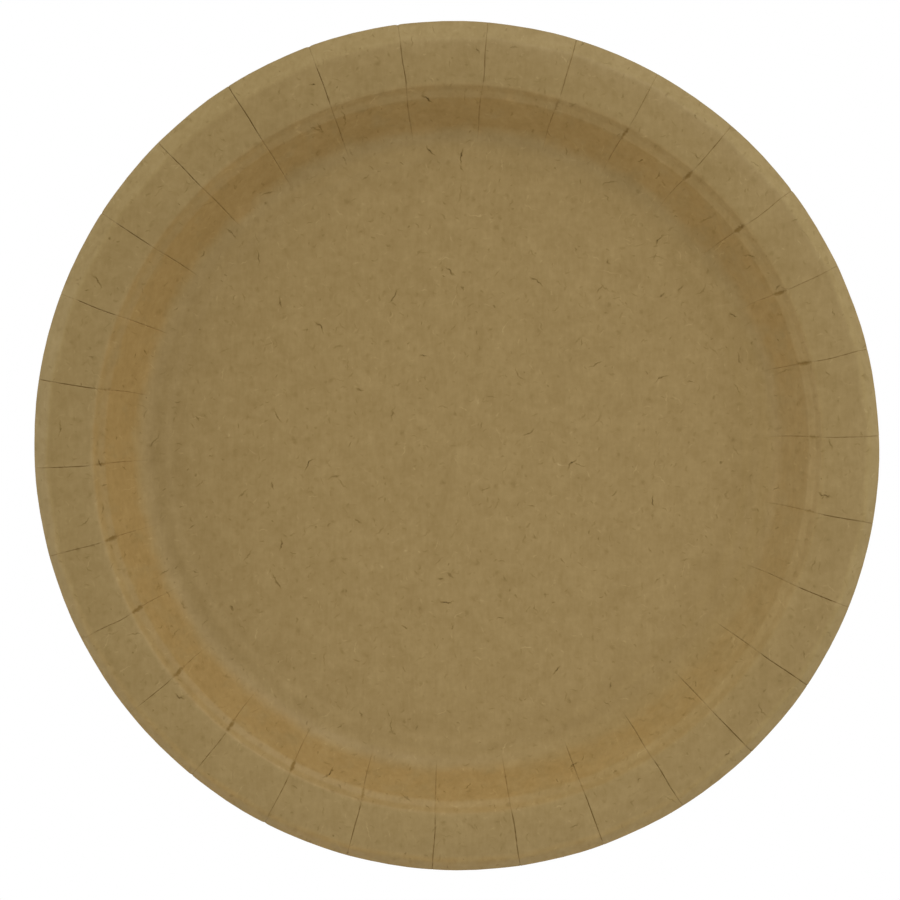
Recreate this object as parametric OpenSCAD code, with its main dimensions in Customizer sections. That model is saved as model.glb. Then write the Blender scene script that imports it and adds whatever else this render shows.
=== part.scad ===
// Round pressed paper plate: one sheet of kraft board, deep-drawn into a shallow dish with a scored rim.
// Millimetres, +Z up. The origin is the centre of the resting face, and the rim's axis is Z.

/* [Plate] */
// Overall diameter across the rim's cut edge
plate_d = 230; // [180:1:280]
// Height of the rim's crown above the table
plate_h = 15; // [12:0.5:20]
// Thickness of the board
board_t = 0.45; // [0.35:0.05:0.55]

/* [Rim] */
// Width of the crowned rim between the step and the lip
rim_w = 13; // [10:0.1:16]
// Slope of the rim on either side of its crown, in degrees
rim_slope = 7; // [5.5:0.5:9]
// Share of each half of the rim that its crown takes up
crown_soft = 0.76; // [0.5:0.01:0.8]
// Width of the turned-down lip
lip_w = 3.2; // [2.5:0.1:4]
// Drop of the lip from its bend to the cut edge
lip_drop = 2.8; // [2.2:0.1:3.4]
// Share of the lip that its bend takes up
lip_soft = 0.2; // [0.12:0.01:0.25]

/* [Step below the rim] */
// Width of the steep step from the ledge up to the rim
step_w = 1.5; // [1.2:0.1:2]
// Rise of the steep step
step_h = 1.5; // [1.2:0.1:2]
// Width of the narrow ledge above the wall
ledge_w = 1.75; // [1.4:0.05:2.2]
// Rise of the ledge
ledge_h = 1; // [0.7:0.05:1.2]
// Share of the ledge and of the step that each of their bends takes up
step_soft = 0.22; // [0.15:0.01:0.3]

/* [Wall] */
// Width of the wall's slope in plan, from the foot to the ledge
wall_w = 9.15; // [7:0.05:13]
// Share of the shoulder that the bend into the wall takes up
foot_soft = 0.68; // [0.4:0.01:0.72]

/* [Base] */
// Width of the level shoulder between the sunk panel and the foot of the wall
shoulder_w = 6.1; // [4.8:0.1:8]
// Width of the sloping ring round the flat panel
recess_w = 2; // [1.6:0.1:2.3]
// How far the flat panel sits below the shoulder
recess_h = 0.4; // [0.3:0.05:0.7]
// Share of the sloping ring that each of its two bends takes up
recess_soft = 0.44; // [0.3:0.01:0.48]

/* [Score lines] */
// Number of pleat scores round the plate
score_count = 30; // [24:1:36]
// Angle of the first score, in degrees
score_start = 2.3; // [1:0.1:9]
// Width of a score across the rim
score_w = 0.36; // [0.26:0.02:0.5]
// How far up the wall's slope a score starts, in plan
score_lead = 1.2; // [0.6:0.1:3]
// Width of the pucker where a score crosses the ledge
pucker_w = 1; // [0.6:0.05:1.4]
// Depth of a score in the eating side
score_depth = 0.2; // [0.12:0.01:0.22]
// Depth of a score in the underside
score_depth_under = 0.1; // [0.06:0.01:0.12]

/* [Hidden] */
// Flat steps that make up the wide and the tight bends of the section
wide_steps = 4;
tight_steps = 2;
// How far a score's cutter stands clear of the board
clearance = 0.3;
// Radii, from the cut edge in
plate_r = plate_d / 2;
rim_out_r = plate_r - lip_w;
apex_r = rim_out_r - rim_w / 2;
rim_in_r = rim_out_r - rim_w;
ledge_r = rim_in_r - step_w;
mouth_r = ledge_r - ledge_w;
foot_r = mouth_r - wall_w;
recess_r = foot_r - shoulder_w;
base_r = recess_r - recess_w;
score_in_r = foot_r + score_lead;
score_out_r = plate_r + clearance;
// Heights: the base from the table up, and the rim from its crown down
foot_z = board_t + recess_h;
crown_r = crown_soft * rim_w / 2 / sin(rim_slope);
apex_z = plate_h + crown_r * (1 / cos(rim_slope) - 1);
rim_z = apex_z - rim_w / 2 * tan(rim_slope);
ledge_z = rim_z - step_h;
mouth_z = ledge_z - ledge_h;

// Corners of the eating side, from the centre to the cut edge, each with its bend's share and steps
ends = [[0, board_t], [plate_r, rim_z - lip_drop]];
corners = [
    [[base_r, board_t], recess_soft, tight_steps],
    [[recess_r, foot_z], recess_soft, tight_steps],
    [[foot_r, foot_z], foot_soft, wide_steps],
    [[mouth_r, mouth_z], step_soft, tight_steps],
    [[ledge_r, ledge_z], step_soft, tight_steps],
    [[rim_in_r, rim_z], step_soft, tight_steps],
    [[apex_r, apex_z], crown_soft, wide_steps],
    [[rim_out_r, rim_z], lip_soft, tight_steps]
];
path = concat([ends[0]], [for (c = corners) c[0]], [ends[1]]);

function side(i) = path[i + 1] - path[i];
function heading(i) = side(i) / norm(side(i));
function upward(v) = [-v[1], v[0]];

// How far a corner's bend reaches along the shorter of its two sides
function reach(i) = corners[i][1] * min(norm(side(i)), norm(side(i + 1)));

// Points of one rounded corner, moved off the eating side by a distance along the board's normal
function bend(i, off) =
    let (u = heading(i), v = heading(i + 1))
    let (turn = atan2(v[1], v[0]) - atan2(u[1], u[0]))
    let (r = reach(i) / tan(turn / 2))
    let (centre = corners[i][0] + r * (upward(u) + upward(v)) / (1 + u * v))
    let (first = atan2(u[1], u[0]) + 90)
    let (step = turn / corners[i][2])
    [for (k = [0 : corners[i][2]]) centre + (off - r) * [cos(first + step * k), sin(first + step * k)]];

// The section's line from the centre to the cut edge
function line(off) = concat(
    [ends[0] + off * upward(heading(0))],
    [for (i = [0 : len(corners) - 1]) each bend(i, off)],
    [ends[1] + off * upward(heading(len(corners)))]
);

function reversed(points) = [for (i = [len(points) - 1 : -1 : 0]) points[i]];

// The board as pressed, before scoring
module pressed_board() {
    rotate_extrude()
        polygon(concat(line(0), reversed(line(-board_t))));
}

// Plan of one score: a fine line from low on the wall out past the cut edge, wider over the ledge
module score_plan() {
    half = score_w / 2;
    pucker_half = pucker_w / 2;
    pucker_r = (mouth_r + rim_in_r) / 2;
    polygon([
        [score_in_r, 0],
        [mouth_r, half],
        [pucker_r, pucker_half],
        [rim_in_r, half],
        [score_out_r, half],
        [score_out_r, -half],
        [rim_in_r, -half],
        [pucker_r, -pucker_half],
        [mouth_r, -half]
    ]);
}

// The scores of one side: their plan, from that side of the board in to the line of their floor
module scores(floor_line, open_z) {
    edge = floor_line[len(floor_line) - 1];
    intersection() {
        translate([0, 0, -clearance])
            linear_extrude(plate_h + 2 * clearance)
                for (i = [0 : score_count - 1])
                    rotate(score_start + i * 360 / score_count)
                        score_plan();
        rotate_extrude()
            polygon(concat(
                floor_line,
                [[score_out_r, edge[1]], [score_out_r, open_z], [0, open_z]]
            ));
    }
}

// The finished plate: the pressed board with a score on both sides of each pleat
module plate() {
    color([0.56, 0.47, 0.31])
        difference() {
            pressed_board();
            scores(line(-score_depth), plate_h + clearance);
            scores(line(-board_t + score_depth_under), -clearance);
        }
}

plate();
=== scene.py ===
"""A pressed kraft-board paper plate with a scored rim, seen from straight above on white."""

import math
import random

import bpy
import numpy as np
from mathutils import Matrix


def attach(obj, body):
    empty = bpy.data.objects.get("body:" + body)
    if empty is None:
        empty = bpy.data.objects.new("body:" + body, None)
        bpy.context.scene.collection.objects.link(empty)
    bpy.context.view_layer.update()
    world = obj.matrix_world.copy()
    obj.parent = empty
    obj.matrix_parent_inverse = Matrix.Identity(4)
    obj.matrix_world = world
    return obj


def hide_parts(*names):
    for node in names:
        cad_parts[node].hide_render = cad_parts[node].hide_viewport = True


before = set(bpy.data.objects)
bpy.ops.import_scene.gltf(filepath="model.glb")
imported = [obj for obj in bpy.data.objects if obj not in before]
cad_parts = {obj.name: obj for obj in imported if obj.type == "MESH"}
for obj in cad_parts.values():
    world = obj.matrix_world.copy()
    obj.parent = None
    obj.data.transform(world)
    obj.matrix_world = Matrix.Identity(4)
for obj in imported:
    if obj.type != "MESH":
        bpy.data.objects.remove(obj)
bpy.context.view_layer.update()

MM = 0.001
rng = random.Random(7)

# Lengths and radii are in millimetres, unless a comment says otherwise.

# The section, as in the solid
PLATE_R = 115.0
PLATE_H = 15.0
BOARD_T = 0.45
RIM_W = 13.0
RIM_SLOPE = math.radians(7)
CROWN_SOFT = 0.76
LIP_W = 3.2
LIP_DROP = 2.8
LIP_SOFT = 0.2
STEP_W = 1.5
STEP_H = 1.5
LEDGE_W = 1.75
LEDGE_H = 1.0
STEP_SOFT = 0.22
WALL_W = 9.15
FOOT_SOFT = 0.68
SHOULDER_W = 6.1
RECESS_W = 2.0
RECESS_H = 0.4
RECESS_SOFT = 0.44
RIM_OUT_R = PLATE_R - LIP_W
RIM_IN_R = RIM_OUT_R - RIM_W
LEDGE_R = RIM_IN_R - STEP_W
MOUTH_R = LEDGE_R - LEDGE_W
FOOT_R = MOUTH_R - WALL_W
RECESS_R = FOOT_R - SHOULDER_W
BASE_R = RECESS_R - RECESS_W
# Steps of the mesh in each kind of bend, and the gaps between its rows on the base and elsewhere
TIGHT_STEPS = 4
EDGE_STEPS = 5
FOOT_STEPS = 10
CROWN_STEPS = 12
BASE_GAP = 6.0
BASE_GAP_R = BASE_R - 10
FINE_GAP = 0.7
# The underside has every other row, and this many of those next to the cut edge
EDGE_ROWS = 3
# Column angles beside a score, in degrees: close together in the groove, wide over the panel
BESIDE = (0.03, 0.07, 0.13, 0.22, 0.36, 0.6, 1.0, 1.8, 3.3)
# Edges of the mesh that turn by more than this are sharp
SHARP = math.radians(60)

# The blank and the pressed rings each lie a little off centre, and the blank is a little oval
BLANK_SHIFT = (0.82, -1.76)
RING_SHIFT = (0.23, -0.87)
OVAL = 0.0046
OVAL_AXIS = math.radians(118)
THREE_SIDED = 0.0007
THREE_SIDED_TURN = 0.6

# The scores: thirty lines, which show differently along and across the grain of the board
SCORES = 30
SCORE_START = math.radians(2.25)
SCORE_STRAY = math.radians(0.12)
GRAIN = math.radians(38)
# Strength of a score across the grain and along it, and the range of the draw that multiplies it
PUCKER_SHOWS = (0.1, 1.0, 0.8, 1.1)
WALL_SHOWS = (1.0, 0.3, 0.8, 1.15)
RIM_SHOWS = (1.4, 0.65, 0.75, 1.2)
LIP_SHOWS = (1.0, 0.5, 0.4, 1.2)
# One score in four notches the cut edge: depth, range of its draw, width, and where the notch starts
NOTCHES = (0, 0, 0, 0.15)
NOTCH_SPREAD = (0.6, 1.1)
NOTCH_W = 0.5
NOTCH_R = PLATE_R - 0.6
# Draws for the lean of a fold, the tilt and bulge of the panel after it, and the waver of its line
LEANS = (-0.6, 0.6)
TILTS = (-1, 1)
BULGES = (-0.4, 1)
WAVERS = (0, 0.1)
WAVER_RATE = 0.5
WAVER_TURN = 9
# Where a score's aim goes over from the rings' centre to the blank's, and inside which its turn is held
AIM_CHANGE = (90, 103)
SHIFT_R = 70
# Stretches of radius over which a score's line comes and goes, and the strength of each part
WALL_START = (84, 89)
TAIL_START = (88, 94)
LEDGE_START = (94, 96)
LEDGE_END = (99, 100.5)
RIM_START = (99, 100.8)
LIP_START = (109, 111)
WALL_PART = 0.75
TAIL_PART = 0.5
LEDGE_PART = 0.45
LEDGE_LOSS = 0.8
LIP_PART = 0.9
# The fold: half its width, its depth, the pucker where it crosses the ledge with the width of its
# darkening, partly painted shade, and how steep its sides are
LINE_HALF = 0.1
LINE_DEPTH = 0.15
LINE_LIMIT = 1.1
PUCKER_R = 96.9
PUCKER_REACH = 2.2
PUCKER_HALF = 0.3
PUCKER_DEPTH = 0.2
KNOT_CRUSHED_AND_SHADE_W = 0.75
FOLD_POWER = 1.6
# The ridge on either side of a fold: place and width in half widths, height as a share of the depth
RIDGE_AT = 2.6
RIDGE_W = 1.2
RIDGE_PART = 0.16
# A fold's depth in the underside, as a share of that in the eating side
UNDER_PART = 0.5

# Unevenness of the panels between the scores, of the bend at the lip, and of the whole board
PANEL_STRETCH = (86, 96)
PANEL_LIFT = 0.1
LIP_TILT = 0.5
LIP_CHORD = 0.45
LIP_REACH = 1.8
RIPPLE = 0.07
RIPPLE_STRETCH = (20, 60)
RIPPLE_LOSS = 0.6
# Waves of the ripple: size, rate along x and y, and turn
WAVES = (
    (1.0, 0.061, 0.023, 0.7),
    (1.0, 0.037, -0.055, 2.1),
    (0.6, 0.05, 0.11, 4.0),
)

# The browner wall: where it starts, where the ledge and the step make it fainter, and where it ends
BROWN_FOOT = (85.4, 89.8)
BROWN_LEDGE = (94.8, 96.2)
BROWN_TOP = (98.4, 99.6)
LEDGE_FAINT = 0.6
STEP_BACK = 0.1
STEP_AT = 98
STEP_REACH = 0.6
# How far the brown's lower edge strays with the bulge and tilt of a panel, and in small waves, and how
# far the tilt changes its strength
STRAY_STRETCH = (96, 92)
STRAY_BULGE = 1.1
STRAY_MIDDLE = 0.3
STRAY_TILT = 1.3
STRAY_WAVE = 0.25
STRAY_RATE = 41
STRAY_TURN = 2
WALL_TILT = 0.2
# Where the rim's darker tint and the lip's painted sheen and shade start, and how strong the lip's
# painted sheen is all the way round
RIM_COLOUR = (98, 100)
LIP_LIGHT_SPAN = (110.2, 112)
LIP_SHEEN_EVEN = 0.77
# Marks toward one side of the plate: strength, direction in degrees, narrowness. The wall's are its
# uneven press brown. The lip's are painted shade in brown and painted sheen. The shoulder's is a painted
# shadow, and those of the ledge, edge, foot and crown are painted shade above 0 and painted highlight
# below 0
WALL_QUIET = (-0.67, -22, 3)
WALL_STRONG = (0.25, 150, 4)
LIP_SHADE_BROWN = (0.8, 252, 2)
LIP_SHEEN_LOSS = (-0.38, 252, 6)
LIP_SHEEN_GAIN = (0.23, 15, 3)
SHOULDER_SHADOW = (0.05, -8, 1.5)
LEDGE_SHADE = (0.05, 132, 4)
EDGE_SHADE = (0.03, 132, 4)
EDGE_HIGHLIGHT = (-0.09, 205, 2.5)
FOOT_HIGHLIGHT = (-0.06, 205, 3)
CROWN_SHADE = (0.05, -30, 8)
# Painted shade that goes all the way round, and the ledge's painted shade that changes slowly from one
# side to the other
SHOULDER_EVEN = 0.01
LEDGE_EVEN = 0.02
LEDGE_SWING = 0.045
LEDGE_SWING_AT = math.radians(80)
# Where those marks lie: the ends of their fading, or their middle and reach
SHOULDER_IN = (73, 77)
SHOULDER_OUT = (89, 86.5)
CROWN_IN = (99.5, 101.5)
CROWN_OUT = (109.2, 106.8)
LEDGE_MARK = (96.4, 0.9)
EDGE_MARK = (RIM_IN_R, 0.75)
FOOT_MARK = (FOOT_R, 1.6)

# The map for baking: size of its two discs, their places, and the room left round the plate
DISC_SIZE = 0.29
DISC_ROOM = 1.02
TOP_DISC = 0.295
LOW_DISC = 0.705

# Kraft board: its colour, and how strongly the tone of pulp and fibres works on red, green and blue
KRAFT = (0.283, 0.193, 0.0705, 1)
TONE_POWER = (0.85, 1.0, 1.5)
# Patches of the pulp: stretch, scale per millimetre, detail, strength
MOTTLE = (
    ((1, 1, 1), 1.3, 2.5, 0.09),
    ((1, 1, 1), 0.62, 2.0, 0.22),
    ((1, 1, 1), 0.26, 2.0, 0.26),
    ((1, 1, 1), 0.10, 2.0, 0.20),
    ((1.3, 0.25, 1), 0.9, 1.0, 0.14),
)
# Scatters of fibres: cell, length, width, share of cells, bow, offset, strength
FIBRES = (
    (3.0, 3.0, 0.75, 0.60, 1.5, 3.1, -0.24),
    (3.6, 3.2, 1.90, 0.40, 0.4, 83.2, -0.18),
    (5.5, 1.8, 0.60, 0.35, 0.8, 71.6, -0.44),
    (8.0, 3.6, 0.52, 0.50, 3.0, 9.4, -0.52),
    (12.0, 6.2, 0.60, 0.50, 4.0, 17.7, -0.78),
    (24.0, 8.0, 0.70, 0.50, 6.0, 31.2, -0.80),
    (3.4, 3.2, 0.64, 0.55, 1.5, 43.9, 0.19),
    (9.0, 7.5, 0.48, 0.50, 3.0, 57.3, 0.28),
)
# Where a fibre's taper starts and ends along it, and how a scatter's offset goes on to its other axis
TAPER = (0.1, 1.0)
OFFSET_TURN = 0.7
# The shortest and the faintest fibre of a scatter, as shares of its longest and strongest
SHORTEST = 0.25
FAINTEST = 0.2
# Factors that turn one chance of a cell into another
REDRAW_SHARE = 7.13
REDRAW_WEIGHT = 5.7
# How far fibres are bent by a drift of the pulp, and how far its fine tone breaks them up
DRIFT = (1.2, 1.2, 0)
DRIFT_SCALE = 0.8
WEAR = 2.0
# The underside shows another part of the same pulp, this far away
UNDER_OFFSET = 411.0
# What the wall, rim, lip, puckers and folds multiply the colour by: the lip's is a painted sheen, and
# the puckers' and folds' darkening is partly the compressed board's own brown and partly painted shade
WALL_TINT = (1.085, 1.012, 0.9, 1)
RIM_TINT = (0.953, 0.96, 0.97, 1)
LIP_SHEEN_TINT = (1.175, 1.22, 1.3, 1)
KNOT_CRUSHED_AND_SHADE = (0.68, 0.62, 0.48, 1)
FOLD_CRUSHED_AND_SHADE = (0.46, 0.36, 0.18, 1)
# Noise that breaks up the wall's brown, the lines and the puckers: scale, detail, gain, offset
WALL_BREAKS = (0.22, 3.0, 2.4, -0.2)
LINE_BREAKS = (0.6, 2.0, 2.4, -0.4)
KNOT_BREAKS = (1.1, 2.0, 0.9, -0.45)
KNOT_EDGE = (0.85, 0.3)
# Surface: gloss, roughness and its range with the fine tone, added roughness in folds, bump in metres
GLOSS = 0.25
ROUGH = 0.48
ROUGH_RANGE = 0.14
ROUGH_FOLDS = 0.4
BUMP_SCALES = (0.62, 2.4)
BUMP_SOFT = 0.4
BUMP_STRENGTH = 0.12
BUMP_DEPTH = 0.0001

# The white sheet and the tent: half width and height in metres, colour, brightness low and overhead
FLOOR_HALF = 3.0
FLOOR_Z = -0.0003
WHITE = (1, 1, 1, 1)
SHEET = (0.8, 0.8, 0.8, 1)
TENT_LOW = 0.93
TENT_TOP = 0.0
# Lamps: azimuth and elevation in degrees, distance and size in metres, power in watts
LAMPS = {
    "key": (66, 48, 1.6, 0.8, 12.3),
    "right": (0, 60, 0.5, 0.3, 0.33),
    "front": (275, 60, 0.5, 0.3, 0.58),
    "left": (180, 25, 1.6, 0.8, 5.6),
}
# Camera, in metres: its height over the cut edge, the width and centre of what it sees there, its
# sensor's width, which alone is in millimetres, and how far it sees
CAMERA_HEIGHT = 1.2
EDGE_Z = 11.7 * MM
PHOTO_PIXELS = 900
PLATE_PIXELS = 847.2
FRAME_WIDTH = PHOTO_PIXELS * 2 * PLATE_R * MM / PLATE_PIXELS
FRAME_CENTRE = (-0.00175, -0.00116)
SENSOR = 36
SIGHT = 20


def smooth(span, x):
    """0 at the first end of a span and before it, 1 at the second and after, smoothly between."""
    first, second = span
    t = np.clip((np.asarray(x, float) - first) / (second - first), 0, 1)
    return t * t * (3 - 2 * t)


def bell(x, middle, width):
    """1 at the middle, falling off on both sides."""
    return np.exp(-(((x - middle) / width) ** 2))


def lobe(angle, strength, degrees, power):
    """A strength at one place round the plate, falling off to 0 a quarter turn away."""
    return strength * np.maximum(0, np.cos(angle - math.radians(degrees))) ** power


def section_corners():
    """Corners of the eating side, centre to cut edge: radius, height, bend's share, bend's steps."""
    foot_z = BOARD_T + RECESS_H
    crown_r = CROWN_SOFT * RIM_W / 2 / math.sin(RIM_SLOPE)
    apex_z = PLATE_H + crown_r * (1 / math.cos(RIM_SLOPE) - 1)
    rim_z = apex_z - RIM_W / 2 * math.tan(RIM_SLOPE)
    ledge_z = rim_z - STEP_H
    return [
        (0, BOARD_T, 0, 0),
        (BASE_R, BOARD_T, RECESS_SOFT, TIGHT_STEPS),
        (RECESS_R, foot_z, RECESS_SOFT, TIGHT_STEPS),
        (FOOT_R, foot_z, FOOT_SOFT, FOOT_STEPS),
        (MOUTH_R, ledge_z - LEDGE_H, STEP_SOFT, TIGHT_STEPS),
        (LEDGE_R, ledge_z, STEP_SOFT, TIGHT_STEPS),
        (RIM_IN_R, rim_z, STEP_SOFT, EDGE_STEPS),
        (RIM_OUT_R - RIM_W / 2, apex_z, CROWN_SOFT, CROWN_STEPS),
        (RIM_OUT_R, rim_z, LIP_SOFT, EDGE_STEPS),
        (PLATE_R, rim_z - LIP_DROP, 0, 0),
    ]


def straight(a, b, normal):
    """Rows between the ends of a straight stretch, wide apart on the base and close elsewhere."""
    gap = BASE_GAP if a[0] < BASE_GAP_R else FINE_GAP
    count = max(1, round(math.dist(a, b) / gap))
    return [(*(a + (b - a) * k / count), *normal) for k in range(1, count)]


def section():
    """Rows of the eating side, centre to cut edge: radius, height and the board's normal."""
    corners = section_corners()
    points = [np.array(c[:2], float) for c in corners]
    sides = [np.linalg.norm(b - a) for a, b in zip(points, points[1:])]
    heads = [(b - a) / side for a, b, side in zip(points, points[1:], sides)]
    ups = [np.array((-h[1], h[0])) for h in heads]
    ways = [math.atan2(h[1], h[0]) for h in heads]
    rows = [(*points[0], *ups[0])]
    for i in range(1, len(points) - 1):
        share, steps = corners[i][2:]
        turn = ways[i] - ways[i - 1]
        radius = share * min(sides[i - 1], sides[i]) / math.tan(turn / 2)
        centre = points[i] + radius * (ups[i - 1] + ups[i]) / (1 + heads[i - 1] @ heads[i])
        first = math.atan2(ups[i - 1][1], ups[i - 1][0])
        bend = []
        for k in range(steps + 1):
            angle = first + turn * k / steps
            normal = np.array((math.cos(angle), math.sin(angle)))
            bend.append((*(centre - radius * normal), *normal))
        rows += straight(np.array(rows[-1][:2]), np.array(bend[0][:2]), ups[i - 1]) + bend
    rows += straight(np.array(rows[-1][:2]), points[-1], ups[-1])
    rows.append((*points[-1], *ups[-1]))
    return np.array(rows)


def ring_centre(radius):
    """Where a ring is centred in plan: at the rings' own centre, and at the origin by the cut edge."""
    share = 1 - smooth((RIM_OUT_R, PLATE_R), radius)
    return RING_SHIFT[0] * share, RING_SHIFT[1] * share


def strength_by_grain(along, across_grain, along_grain, least, most):
    """Strength of a score by its direction to the grain, times a draw."""
    return (across_grain + (along_grain - across_grain) * along) * rng.uniform(least, most)


class Score:
    """One pleat score: where it lies and how strongly it shows on the lip, rim, ledge and wall."""

    def __init__(self, number):
        stray = rng.uniform(-SCORE_STRAY, SCORE_STRAY)
        self.angle = SCORE_START + math.tau * number / SCORES + stray
        along = (1 + math.cos(2 * (self.angle - GRAIN))) / 2
        self.pucker = strength_by_grain(along, *PUCKER_SHOWS)
        self.wall = strength_by_grain(along, *WALL_SHOWS)
        self.rim = strength_by_grain(along, *RIM_SHOWS)
        self.lip = strength_by_grain(along, *LIP_SHOWS)
        self.notch = rng.choice(NOTCHES) * rng.uniform(*NOTCH_SPREAD)
        self.lean = rng.uniform(*LEANS)
        self.tilt = rng.uniform(*TILTS)
        self.bulge = rng.uniform(*BULGES)
        self.waver = rng.uniform(*WAVERS)

    def at(self, radius):
        """Its angle on a ring. It runs from the rings' centre on the wall, the blank's on the rim."""
        share = smooth(AIM_CHANGE, radius)
        aim = [ring + (blank - ring) * share for ring, blank in zip(RING_SHIFT, BLANK_SHIFT)]
        x, y = (a - c for a, c in zip(aim, ring_centre(radius)))
        side = y * math.cos(self.angle) - x * math.sin(self.angle)
        side += self.waver * math.sin(WAVER_RATE * radius + WAVER_TURN * self.tilt)
        return self.angle + side / np.maximum(radius, SHIFT_R)

    def strength(self, radius):
        """How strongly its line shows along it, about 1 on the rim."""
        wall = WALL_PART * self.wall * smooth(WALL_START, radius)
        wall = wall + TAIL_PART * self.pucker * smooth(TAIL_START, radius)
        on_ledge = smooth(LEDGE_START, radius)
        on_lip = smooth(LIP_START, radius)
        ledge = LEDGE_PART * self.rim * (1 - LEDGE_LOSS * self.pucker)
        ledge = ledge * on_ledge * (1 - smooth(LEDGE_END, radius))
        rim = self.rim * smooth(RIM_START, radius) * (1 - on_lip)
        lip = LIP_PART * self.lip * on_lip
        return wall * (1 - on_ledge) + ledge + rim + lip

    def knot(self, radius):
        """How far the pucker at the ledge shows, from 0 to about 1."""
        return self.pucker * bell(radius, PUCKER_R, PUCKER_REACH)

    def depth(self, radius):
        """Depth of the fold along it."""
        line = LINE_DEPTH * np.minimum(self.strength(radius), LINE_LIMIT)
        return np.maximum(line, PUCKER_DEPTH * self.knot(radius))

    def half_width(self, radius):
        """Half the width of the fold along it."""
        return LINE_HALF + PUCKER_HALF * self.knot(radius)


def columns(scores, radius):
    """Columns of a row: angle, score that each belongs to, distance from it, place on the panel."""
    beside = np.radians(BESIDE)
    starts = [s.at(radius) for s in scores]
    rows = []
    for i in range(SCORES):
        following = (i + 1) % SCORES
        after = starts[following] + (math.tau if following == 0 else 0)
        span = after - starts[i]
        for angle in (0.0, *beside, span / 2):
            rows.append((starts[i] + angle, i, angle * radius, angle / span))
        for angle in beside[::-1]:
            rows.append((after - angle, following, -angle * radius, 1 - angle / span))
    angles, owners, sides, panels = zip(*rows)
    return np.array(angles), np.array(owners), np.array(sides), np.array(panels)


class Ring:
    """The columns of one row, with what the scores and panels are like at each."""

    def __init__(self, scores, radius):
        self.scores, self.radius = scores, radius
        self.angle, self.owner, self.side, self.panel = columns(scores, radius)
        self.tilt = np.repeat([s.tilt for s in scores], len(self.angle) // SCORES)
        self.bulge = np.repeat([s.bulge for s in scores], len(self.angle) // SCORES)

    def of_score(self, reading):
        """One reading of the scores, given to each score's own columns."""
        return np.array([reading(s) for s in self.scores])[self.owner]


def outline(angle):
    """How far the cut edge departs from a circle, as a share of the radius."""
    three_sided = THREE_SIDED * np.cos(3 * angle + THREE_SIDED_TURN)
    return OVAL * np.cos(2 * (angle - OVAL_AXIS)) + three_sided


def plan(radius, angle):
    """Places of ring points seen from above."""
    far = radius * (1 + outline(angle) * smooth((RIM_OUT_R, PLATE_R), radius))
    x, y = ring_centre(radius)
    return far * np.cos(angle) + x, far * np.sin(angle) + y


def ripple(x, y):
    """Slow unevenness of the pressed board."""
    return RIPPLE * sum(size * np.sin(a * x + b * y + turn) for size, a, b, turn in WAVES)


def folded(ring):
    """How far a ring's columns are pushed out of the eating side by the folds and their ridges."""
    depth = ring.of_score(lambda s: s.depth(ring.radius))
    half = ring.of_score(lambda s: s.half_width(ring.radius))
    lean = ring.of_score(lambda s: s.lean)
    fold = np.exp(-np.abs(ring.side / half) ** FOLD_POWER)
    ridge = bell(np.abs(ring.side), RIDGE_AT * half, RIDGE_W * half)
    ridge = ridge * (1 + lean * np.sign(ring.side))
    return depth * (RIDGE_PART * ridge - fold)


def shape(ring, height, out, up, under):
    """Vertices of one row: the section with its folds, uneven panels, straight lip and notches."""
    radius, panel = ring.radius, ring.panel
    arch = np.sin(math.pi * panel)
    shown = float(smooth(PANEL_STRETCH, radius))
    push = PANEL_LIFT * shown * (ring.tilt * np.sin(math.tau * panel) + ring.bulge * arch**2)
    groove = folded(ring)
    push += -BOARD_T - UNDER_PART * groove if under else groove
    chord = LIP_TILT * ring.tilt * (panel - 0.5) - LIP_CHORD * arch
    far = radius + push * out + chord * bell(radius, RIM_OUT_R, LIP_REACH)
    if radius > NOTCH_R:
        far = far - ring.of_score(lambda s: s.notch) * bell(ring.side, 0, NOTCH_W)
    x, y = plan(far, ring.angle)
    wave = ripple(x, y) * smooth(RIPPLE_STRETCH, radius) * (1 - RIPPLE_LOSS * shown)
    return np.stack([x, y, height + push * up + wave], 1)


def press_brown(radius):
    """How far the press has browned the board: most on the wall, less on the ledge and step."""
    faint = LEDGE_FAINT - STEP_BACK * bell(radius, STEP_AT, STEP_REACH)
    above = 1 - smooth(BROWN_LEDGE, radius) * faint
    return smooth(BROWN_FOOT, radius) * above * (1 - smooth(BROWN_TOP, radius))


def browned(ring):
    """The brown of the wall, uneven from panel to panel, and painted shade in the same brown on the lip,
    on the side away from the lamps.
    """
    radius, angle = ring.radius, ring.angle
    stray = STRAY_BULGE * (ring.bulge - STRAY_MIDDLE) + STRAY_TILT * ring.tilt * (ring.panel - 0.5)
    stray = stray + STRAY_WAVE * np.sin(STRAY_RATE * angle + STRAY_TURN)
    around = 1 + lobe(angle, *WALL_QUIET) + lobe(angle, *WALL_STRONG)
    wall = press_brown(radius + stray * smooth(STRAY_STRETCH, radius))
    # Painted shade: the lip takes the wall's brown on the side away from the lamps
    lip = smooth(LIP_LIGHT_SPAN, radius) * lobe(angle, *LIP_SHADE_BROWN)
    return wall * around * (1 + WALL_TILT * ring.tilt) + lip


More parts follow.
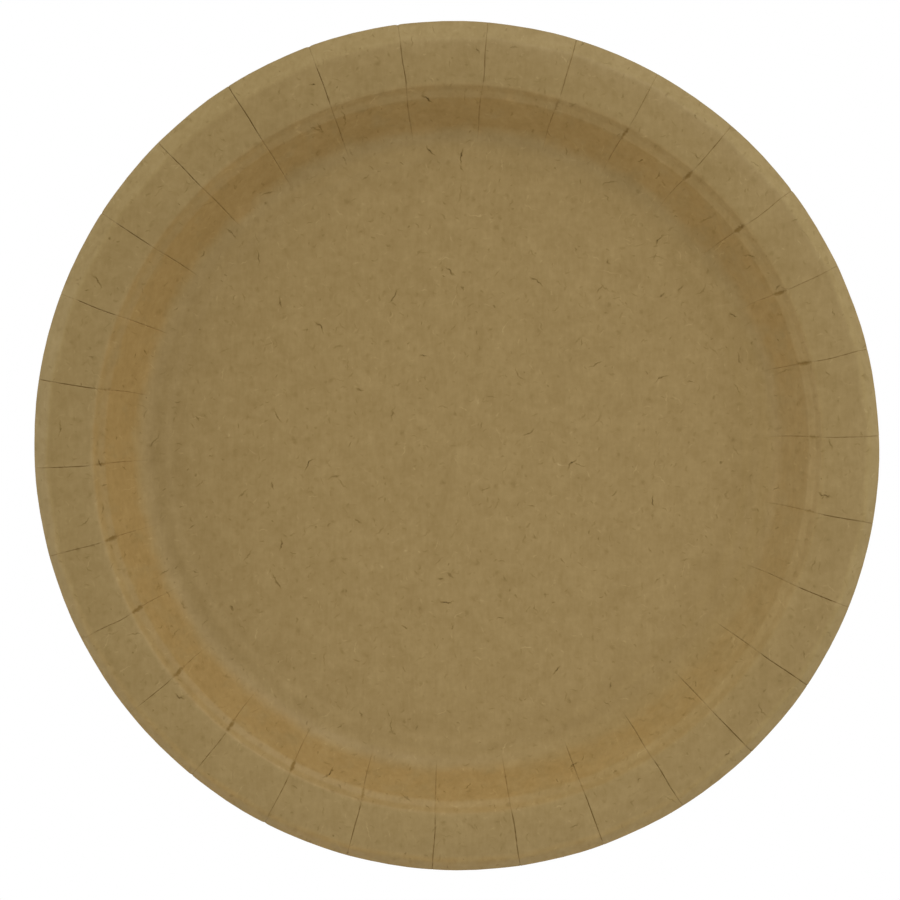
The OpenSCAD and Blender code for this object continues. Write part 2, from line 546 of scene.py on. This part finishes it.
def shade_and_highlight(radius, angle):
    """Painted shade: how far the colour is darkened. Below 0 it is a painted highlight, paler."""
    shoulder = SHOULDER_EVEN + lobe(angle, *SHOULDER_SHADOW)
    ledge = LEDGE_EVEN + LEDGE_SWING * np.cos(angle - LEDGE_SWING_AT) + lobe(angle, *LEDGE_SHADE)
    edge = lobe(angle, *EDGE_SHADE) + lobe(angle, *EDGE_HIGHLIGHT)
    foot = lobe(angle, *FOOT_HIGHLIGHT)
    crown = lobe(angle, *CROWN_SHADE)
    shade = shoulder * smooth(SHOULDER_IN, radius) * smooth(SHOULDER_OUT, radius)
    shade = shade + crown * smooth(CROWN_IN, radius) * smooth(CROWN_OUT, radius)
    shade = shade + ledge * bell(radius, *LEDGE_MARK) + edge * bell(radius, *EDGE_MARK)
    return shade + foot * bell(radius, *FOOT_MARK)


def shading(ring):
    """What the material reads at each column of one row."""
    radius, angle, side = ring.radius, ring.angle, ring.side
    # The lip's painted sheen: paler all round, less on the side away from the lamps and more on the
    # right
    sheen = LIP_SHEEN_EVEN + lobe(angle, *LIP_SHEEN_LOSS) + lobe(angle, *LIP_SHEEN_GAIN)
    return {
        "crease": ring.of_score(lambda s: s.strength(radius)) * bell(side, 0, LINE_HALF),
        "knot": ring.of_score(lambda s: s.knot(radius)) * bell(side, 0, KNOT_CRUSHED_AND_SHADE_W),
        "wall": browned(ring),
        "rim": np.full(len(angle), smooth(RIM_COLOUR, radius)),
        "lip": smooth(LIP_LIGHT_SPAN, radius) * sheen,
        "painted_shade_and_highlight": shade_and_highlight(radius, angle),
    }


def one_side(rows, scores, under):
    """Vertices of one side of the board, ring by ring, and their shading values."""
    points, values = [], []
    for radius, height, out, up in rows:
        ring = Ring(scores, radius)
        points.append(shape(ring, height, out, up, under))
        values.append(shading(ring))
    joined = {name: np.concatenate([v[name] for v in values]) for name in values[0]}
    joined["underside"] = np.full(len(joined["wall"]), float(under))
    return np.concatenate(points), joined


def grid_faces(first, rows, around, flip):
    """Quads between the rings of a grid whose vertices start at a number."""
    faces = []
    for j in range(rows - 1):
        a = first + j * around
        for i in range(around):
            k = (i + 1) % around
            quad = (a + i, a + i + around, a + k + around, a + k)
            faces.append(quad[::-1] if flip else quad)
    return faces


def cap_faces(centre, first, around, flip):
    """Triangles from a middle vertex to the ring that starts at a number."""
    faces = [(centre, first + i, first + (i + 1) % around) for i in range(around)]
    return [f[::-1] for f in faces] if flip else faces


def edge_faces(upper, lower, around):
    """Quads of the cut edge, between the outermost rings of the two sides."""
    pairs = [(i, (i + 1) % around) for i in range(around)]
    return [(upper + i, lower + i, lower + k, upper + k) for i, k in pairs]


def plate_mesh():
    """The board as a closed mesh, its shading values and how many faces its eating side has."""
    scores = [Score(i) for i in range(SCORES)]
    rows = section()[1:]
    kept = rows[[j for j in range(len(rows)) if j % 2 == 0 or j >= len(rows) - EDGE_ROWS]]
    top, top_values = one_side(rows, scores, False)
    low, low_values = one_side(kept, scores, True)
    around = len(top) // len(rows)
    start, end = len(top), len(top) + len(low)
    vertices = np.concatenate([top, low, [[0, 0, BOARD_T], [0, 0, 0]]])
    faces = grid_faces(0, len(rows), around, False) + cap_faces(end, 0, around, False)
    upper = len(faces)
    faces += edge_faces(start - around, end - around, around)
    faces += grid_faces(start, len(kept), around, True) + cap_faces(end + 1, start, around, True)
    values = {}
    for name in top_values:
        middles = [0, 1 if name == "underside" else 0]
        values[name] = np.concatenate([top_values[name], low_values[name], middles])
    return vertices, faces, values, upper


def bake_map(mesh, upper):
    """A flat map for baking: the eating side as one disc, the underside and cut edge as another."""
    layer = mesh.uv_layers.new(name="OFBake")
    corner = np.empty(len(mesh.loops), int)
    mesh.loops.foreach_get("vertex_index", corner)
    place = np.empty(len(mesh.vertices) * 3)
    mesh.vertices.foreach_get("co", place)
    flat = place.reshape(-1, 3)[corner, :2] / (PLATE_R * DISC_ROOM * MM) * DISC_SIZE
    above = np.arange(len(mesh.loops)) < mesh.polygons[upper].loop_start
    uv = np.where(above[:, None], flat + TOP_DISC, flat * (-1, 1) + LOW_DISC)
    layer.data.foreach_set("uv", uv.ravel())


def build_plate():
    vertices, faces, values, upper = plate_mesh()
    mesh = bpy.data.meshes.new("plate_board")
    mesh.from_pydata((vertices * MM).tolist(), [], faces)
    for name, value in values.items():
        layer = mesh.attributes.new(name, "FLOAT", "POINT")
        layer.data.foreach_set("value", value.astype(np.float32))
    bake_map(mesh, upper)
    mesh.polygons.foreach_set("use_smooth", [True] * len(mesh.polygons))
    mesh.set_sharp_from_angle(angle=SHARP)
    board = bpy.data.objects.new("plate_board", mesh)
    bpy.context.scene.collection.objects.link(board)
    return board


class Nodes:
    """Short calls for building one node tree."""

    def __init__(self, tree):
        self.tree = tree
        tree.nodes.clear()

    def add(self, kind, inputs=None, **settings):
        """A node with its settings, and its inputs linked to a socket or set to a value."""
        made = self.tree.nodes.new(kind)
        for key, value in settings.items():
            setattr(made, key, value)
        for key, value in (inputs or {}).items():
            if isinstance(value, bpy.types.NodeSocket):
                self.tree.links.new(value, made.inputs[key])
            else:
                made.inputs[key].default_value = value
        return made

    def math(self, operation, a, b=0.0, c=0.0, clamp=False):
        inputs = {0: a, 1: b, 2: c}
        return self.add("ShaderNodeMath", inputs, operation=operation, use_clamp=clamp).outputs[0]

    def times(self, a, b, clamp=False):
        return self.math("MULTIPLY", a, b, clamp=clamp)

    def scaled(self, value, gain, offset, clamp=False):
        """A value times a gain, plus an offset."""
        return self.math("MULTIPLY_ADD", value, gain, offset, clamp)

    def vector(self, operation, a, b=(0, 0, 0), c=(0, 0, 0)):
        inputs = {0: a, 1: b, 2: c}
        return self.add("ShaderNodeVectorMath", inputs, operation=operation).outputs[0]

    def parts(self, kind, value):
        """The parts of a vector or a colour."""
        return self.add("ShaderNodeSeparate" + kind, {0: value}).outputs

    def fade(self, value, start, end):
        """1 at start and 0 at end, smoothly."""
        inputs = {0: value, 1: start, 2: end, 3: 1.0, 4: 0.0}
        made = self.add("ShaderNodeMapRange", inputs, interpolation_type="SMOOTHSTEP")
        return made.outputs[0]

    def noise(self, place, scale, detail, output="Fac"):
        inputs = {"Vector": place, "Scale": scale, "Detail": detail}
        return self.add("ShaderNodeTexNoise", inputs).outputs[output]

    def uneven(self, place, scale, detail, gain, offset):
        """Noise times a gain, plus an offset."""
        return self.scaled(self.noise(place, scale, detail), gain, offset)

    def value(self, name):
        """One of the mesh's own shading values."""
        return self.add("ShaderNodeAttribute", attribute_name=name).outputs["Fac"]

    def tint(self, colour, factor, shade):
        """Multiplies a colour by a shade as far as the factor goes, from 0 to 1."""
        settings = {"data_type": "RGBA", "blend_type": "MULTIPLY", "clamp_factor": True}
        made = self.add("ShaderNodeMix", {0: factor, 6: colour, 7: shade}, **settings)
        return made.outputs[2]


def fibres(n, place, cell, length, width, share, bow, offset):
    """One scatter of tapered fibres: at most one in a cell, with its own direction, length and bow."""
    spot = n.vector("MULTIPLY_ADD", place, (1 / cell,) * 3, (offset, offset * OFFSET_TURN, 0))
    cells = n.add("ShaderNodeTexVoronoi", {"Vector": spot, "Scale": 1.0}, voronoi_dimensions="2D")
    chance = n.parts("Color", cells.outputs["Color"])
    away = n.vector("SUBTRACT", spot, cells.outputs["Position"])
    turn = {"Vector": away, "Angle": n.times(chance[0], math.tau)}
    turned = n.add("ShaderNodeVectorRotate", turn, rotation_type="Z_AXIS").outputs[0]
    axis = n.parts("XYZ", turned)
    curve = n.times(n.times(axis[0], axis[0]), n.scaled(chance[1], bow, -bow / 2))
    across = n.math("ABSOLUTE", n.math("ADD", axis[1], curve))
    reach = length / cell / 2
    reached = n.scaled(chance[2], (1 - SHORTEST) * reach, SHORTEST * reach)
    along = n.math("DIVIDE", n.math("ABSOLUTE", axis[0]), reached)
    body = n.times(n.fade(along, *TAPER), n.fade(across, 0.0, width / cell / 2))
    picked = n.math("FRACT", n.times(chance[1], REDRAW_SHARE))
    wanted = n.math("LESS_THAN", picked, share)
    weight = n.math("FRACT", n.times(chance[2], REDRAW_WEIGHT))
    weight = n.scaled(n.times(weight, weight), 1 - FAINTEST, FAINTEST)
    return n.times(n.times(body, wanted), weight)


def pulp(n, place):
    """The tone of the pulp with its patches and fibres, about 1, and the finest of its patches."""
    tone, patches = 1.0, []
    for stretch, scale, detail, strength in MOTTLE:
        patches.append(n.noise(n.vector("MULTIPLY", place, stretch), scale, detail))
        tone = n.times(tone, n.scaled(patches[-1], strength, 1 - strength / 2))
    fine = patches[0]
    drift = n.noise(place, DRIFT_SCALE, 1.0, "Color")
    strewn = n.vector("MULTIPLY_ADD", drift, DRIFT, place)
    worn = n.times(fine, WEAR)
    for *layout, strength in FIBRES:
        mark = n.times(fibres(n, strewn, *layout), worn)
        tone = n.times(tone, n.scaled(mark, strength, 1.0))
    return tone, fine


def colour_with_painted_light(n, place, tone):
    """The board's colour with the wall's press brown, painted shade, highlight and sheen, and the folds'
    darkening, partly painted shade; and how far a fold shows.
    """
    # Painted shade darkens the tone, and painted highlight lightens it where the value is below 0
    tone = n.times(tone, n.math("SUBTRACT", 1.0, n.value("painted_shade_and_highlight")))
    powers = {i: n.math("POWER", tone, TONE_POWER[i]) for i in range(3)}
    colour = n.tint(KRAFT, 1.0, n.add("ShaderNodeCombineColor", powers).outputs[0])
    wall = n.times(n.value("wall"), n.uneven(place, *WALL_BREAKS))
    line = n.times(n.value("crease"), n.uneven(place, *LINE_BREAKS), clamp=True)
    ragged = n.math("ADD", n.value("knot"), n.uneven(place, *KNOT_BREAKS))
    knot = n.fade(ragged, *KNOT_EDGE)
    # The wall's press brown, which on the lip is painted shade on the side away from the lamps
    colour = n.tint(colour, wall, WALL_TINT)
    colour = n.tint(colour, n.value("rim"), RIM_TINT)
    # The lip's tint is a painted sheen
    colour = n.tint(colour, n.value("lip"), LIP_SHEEN_TINT)
    # Puckers and folds darken partly as the compressed board's own brown, partly as painted shade in the
    # fold
    colour = n.tint(colour, knot, KNOT_CRUSHED_AND_SHADE)
    colour = n.tint(colour, line, FOLD_CRUSHED_AND_SHADE)
    return colour, n.math("MAXIMUM", line, knot)


def kraft():
    """Uncoated brown kraft: mottled pulp with fibres, browner on the wall, dark in the folds partly by
    painted shade, with painted shade and highlight by the rings and a painted sheen on the lip.
    """
    material = bpy.data.materials.new("kraft_board")
    material.use_nodes = True
    n = Nodes(material.node_tree)
    metres = n.add("ShaderNodeTexCoord").outputs["Object"]
    place = n.vector("MULTIPLY", metres, (1 / MM,) * 3)
    aside = n.times(n.value("underside"), UNDER_OFFSET)
    place = n.vector("ADD", place, n.add("ShaderNodeCombineXYZ", {0: aside}).outputs[0])
    tone, fine = pulp(n, place)
    colour, folds = colour_with_painted_light(n, place, tone)
    soft, sharp = (n.noise(place, scale, 2.0) for scale in BUMP_SCALES)
    height = n.scaled(soft, BUMP_SOFT, sharp)
    bump = {"Strength": BUMP_STRENGTH, "Distance": BUMP_DEPTH, "Height": height}
    rough = n.scaled(folds, ROUGH_FOLDS, n.scaled(fine, ROUGH_RANGE, ROUGH), clamp=True)
    looks = {"Base Color": colour, "Roughness": rough, "Specular IOR Level": GLOSS}
    looks["Normal"] = n.add("ShaderNodeBump", bump).outputs[0]
    surface = n.add("ShaderNodeBsdfPrincipled", looks).outputs[0]
    n.add("ShaderNodeOutputMaterial", {"Surface": surface})
    return material


def seen_directly(n):
    """1 for rays from the camera, also by way of gloss or glass, and 0 for other light."""
    path = n.add("ShaderNodeLightPath").outputs
    seen = n.math("MAXIMUM", path["Is Camera Ray"], path["Is Glossy Ray"])
    return n.math("MAXIMUM", seen, path["Is Transmission Ray"])


def build_floor():
    """A white sheet that shows as plain white and still sends light up under the rim."""
    mesh = bpy.data.meshes.new("floor")
    signs = ((-1, -1), (1, -1), (1, 1), (-1, 1))
    corners = [(x * FLOOR_HALF, y * FLOOR_HALF, FLOOR_Z) for x, y in signs]
    mesh.from_pydata(corners, [], [(0, 1, 2, 3)])
    floor = bpy.data.objects.new("floor", mesh)
    bpy.context.scene.collection.objects.link(floor)
    material = bpy.data.materials.new("white_sheet")
    material.use_nodes = True
    n = Nodes(material.node_tree)
    white = n.add("ShaderNodeEmission", {"Color": WHITE, "Strength": 1.0}).outputs[0]
    paper = n.add("ShaderNodeBsdfDiffuse", {"Color": SHEET}).outputs[0]
    mixed = n.add("ShaderNodeMixShader", {0: seen_directly(n), 1: paper, 2: white}).outputs[0]
    n.add("ShaderNodeOutputMaterial", {"Surface": mixed})
    mesh.materials.append(material)


def build_world():
    """A white tent that is brighter low down than overhead."""
    world = bpy.data.worlds.new("tent")
    world.use_nodes = True
    n = Nodes(world.node_tree)
    rise = n.parts("XYZ", n.add("ShaderNodeTexCoord").outputs["Generated"])[2]
    inputs = {0: rise, 1: 0.0, 2: 1.0, 3: TENT_LOW, 4: TENT_TOP}
    strength = n.add("ShaderNodeMapRange", inputs).outputs[0]
    light = n.add("ShaderNodeBackground", {"Color": WHITE, "Strength": strength}).outputs[0]
    n.add("ShaderNodeOutputWorld", {"Surface": light})
    bpy.context.scene.world = world


def softbox(name, azimuth, elevation, distance, size, power):
    """A square soft lamp that faces the plate."""
    lamp = bpy.data.lights.new(name, "AREA")
    lamp.size = size
    lamp.energy = power
    box = bpy.data.objects.new(name, lamp)
    a, e = math.radians(azimuth), math.radians(elevation)
    way = (math.cos(a) * math.cos(e), math.sin(a) * math.cos(e), math.sin(e))
    box.location = [distance * v for v in way]
    box.rotation_euler = (math.pi / 2 - e, 0, a + math.pi / 2)
    bpy.context.scene.collection.objects.link(box)


def build_camera():
    """Straight above, with the plate's width and place in the frame as photographed."""
    data = bpy.data.cameras.new("camera")
    camera = bpy.data.objects.new("camera", data)
    data.sensor_width = SENSOR
    data.lens = SENSOR * CAMERA_HEIGHT / FRAME_WIDTH
    data.clip_end = SIGHT
    camera.location = (*FRAME_CENTRE, CAMERA_HEIGHT + EDGE_Z)
    bpy.context.scene.collection.objects.link(camera)
    bpy.context.scene.camera = camera


plate = build_plate()
plate.data.materials.append(kraft())
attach(plate, "root")
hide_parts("plate")

build_floor()
build_world()
for lamp_name, lamp_values in LAMPS.items():
    softbox(lamp_name, *lamp_values)
build_camera()
bpy.context.scene.view_settings.view_transform = "Standard"
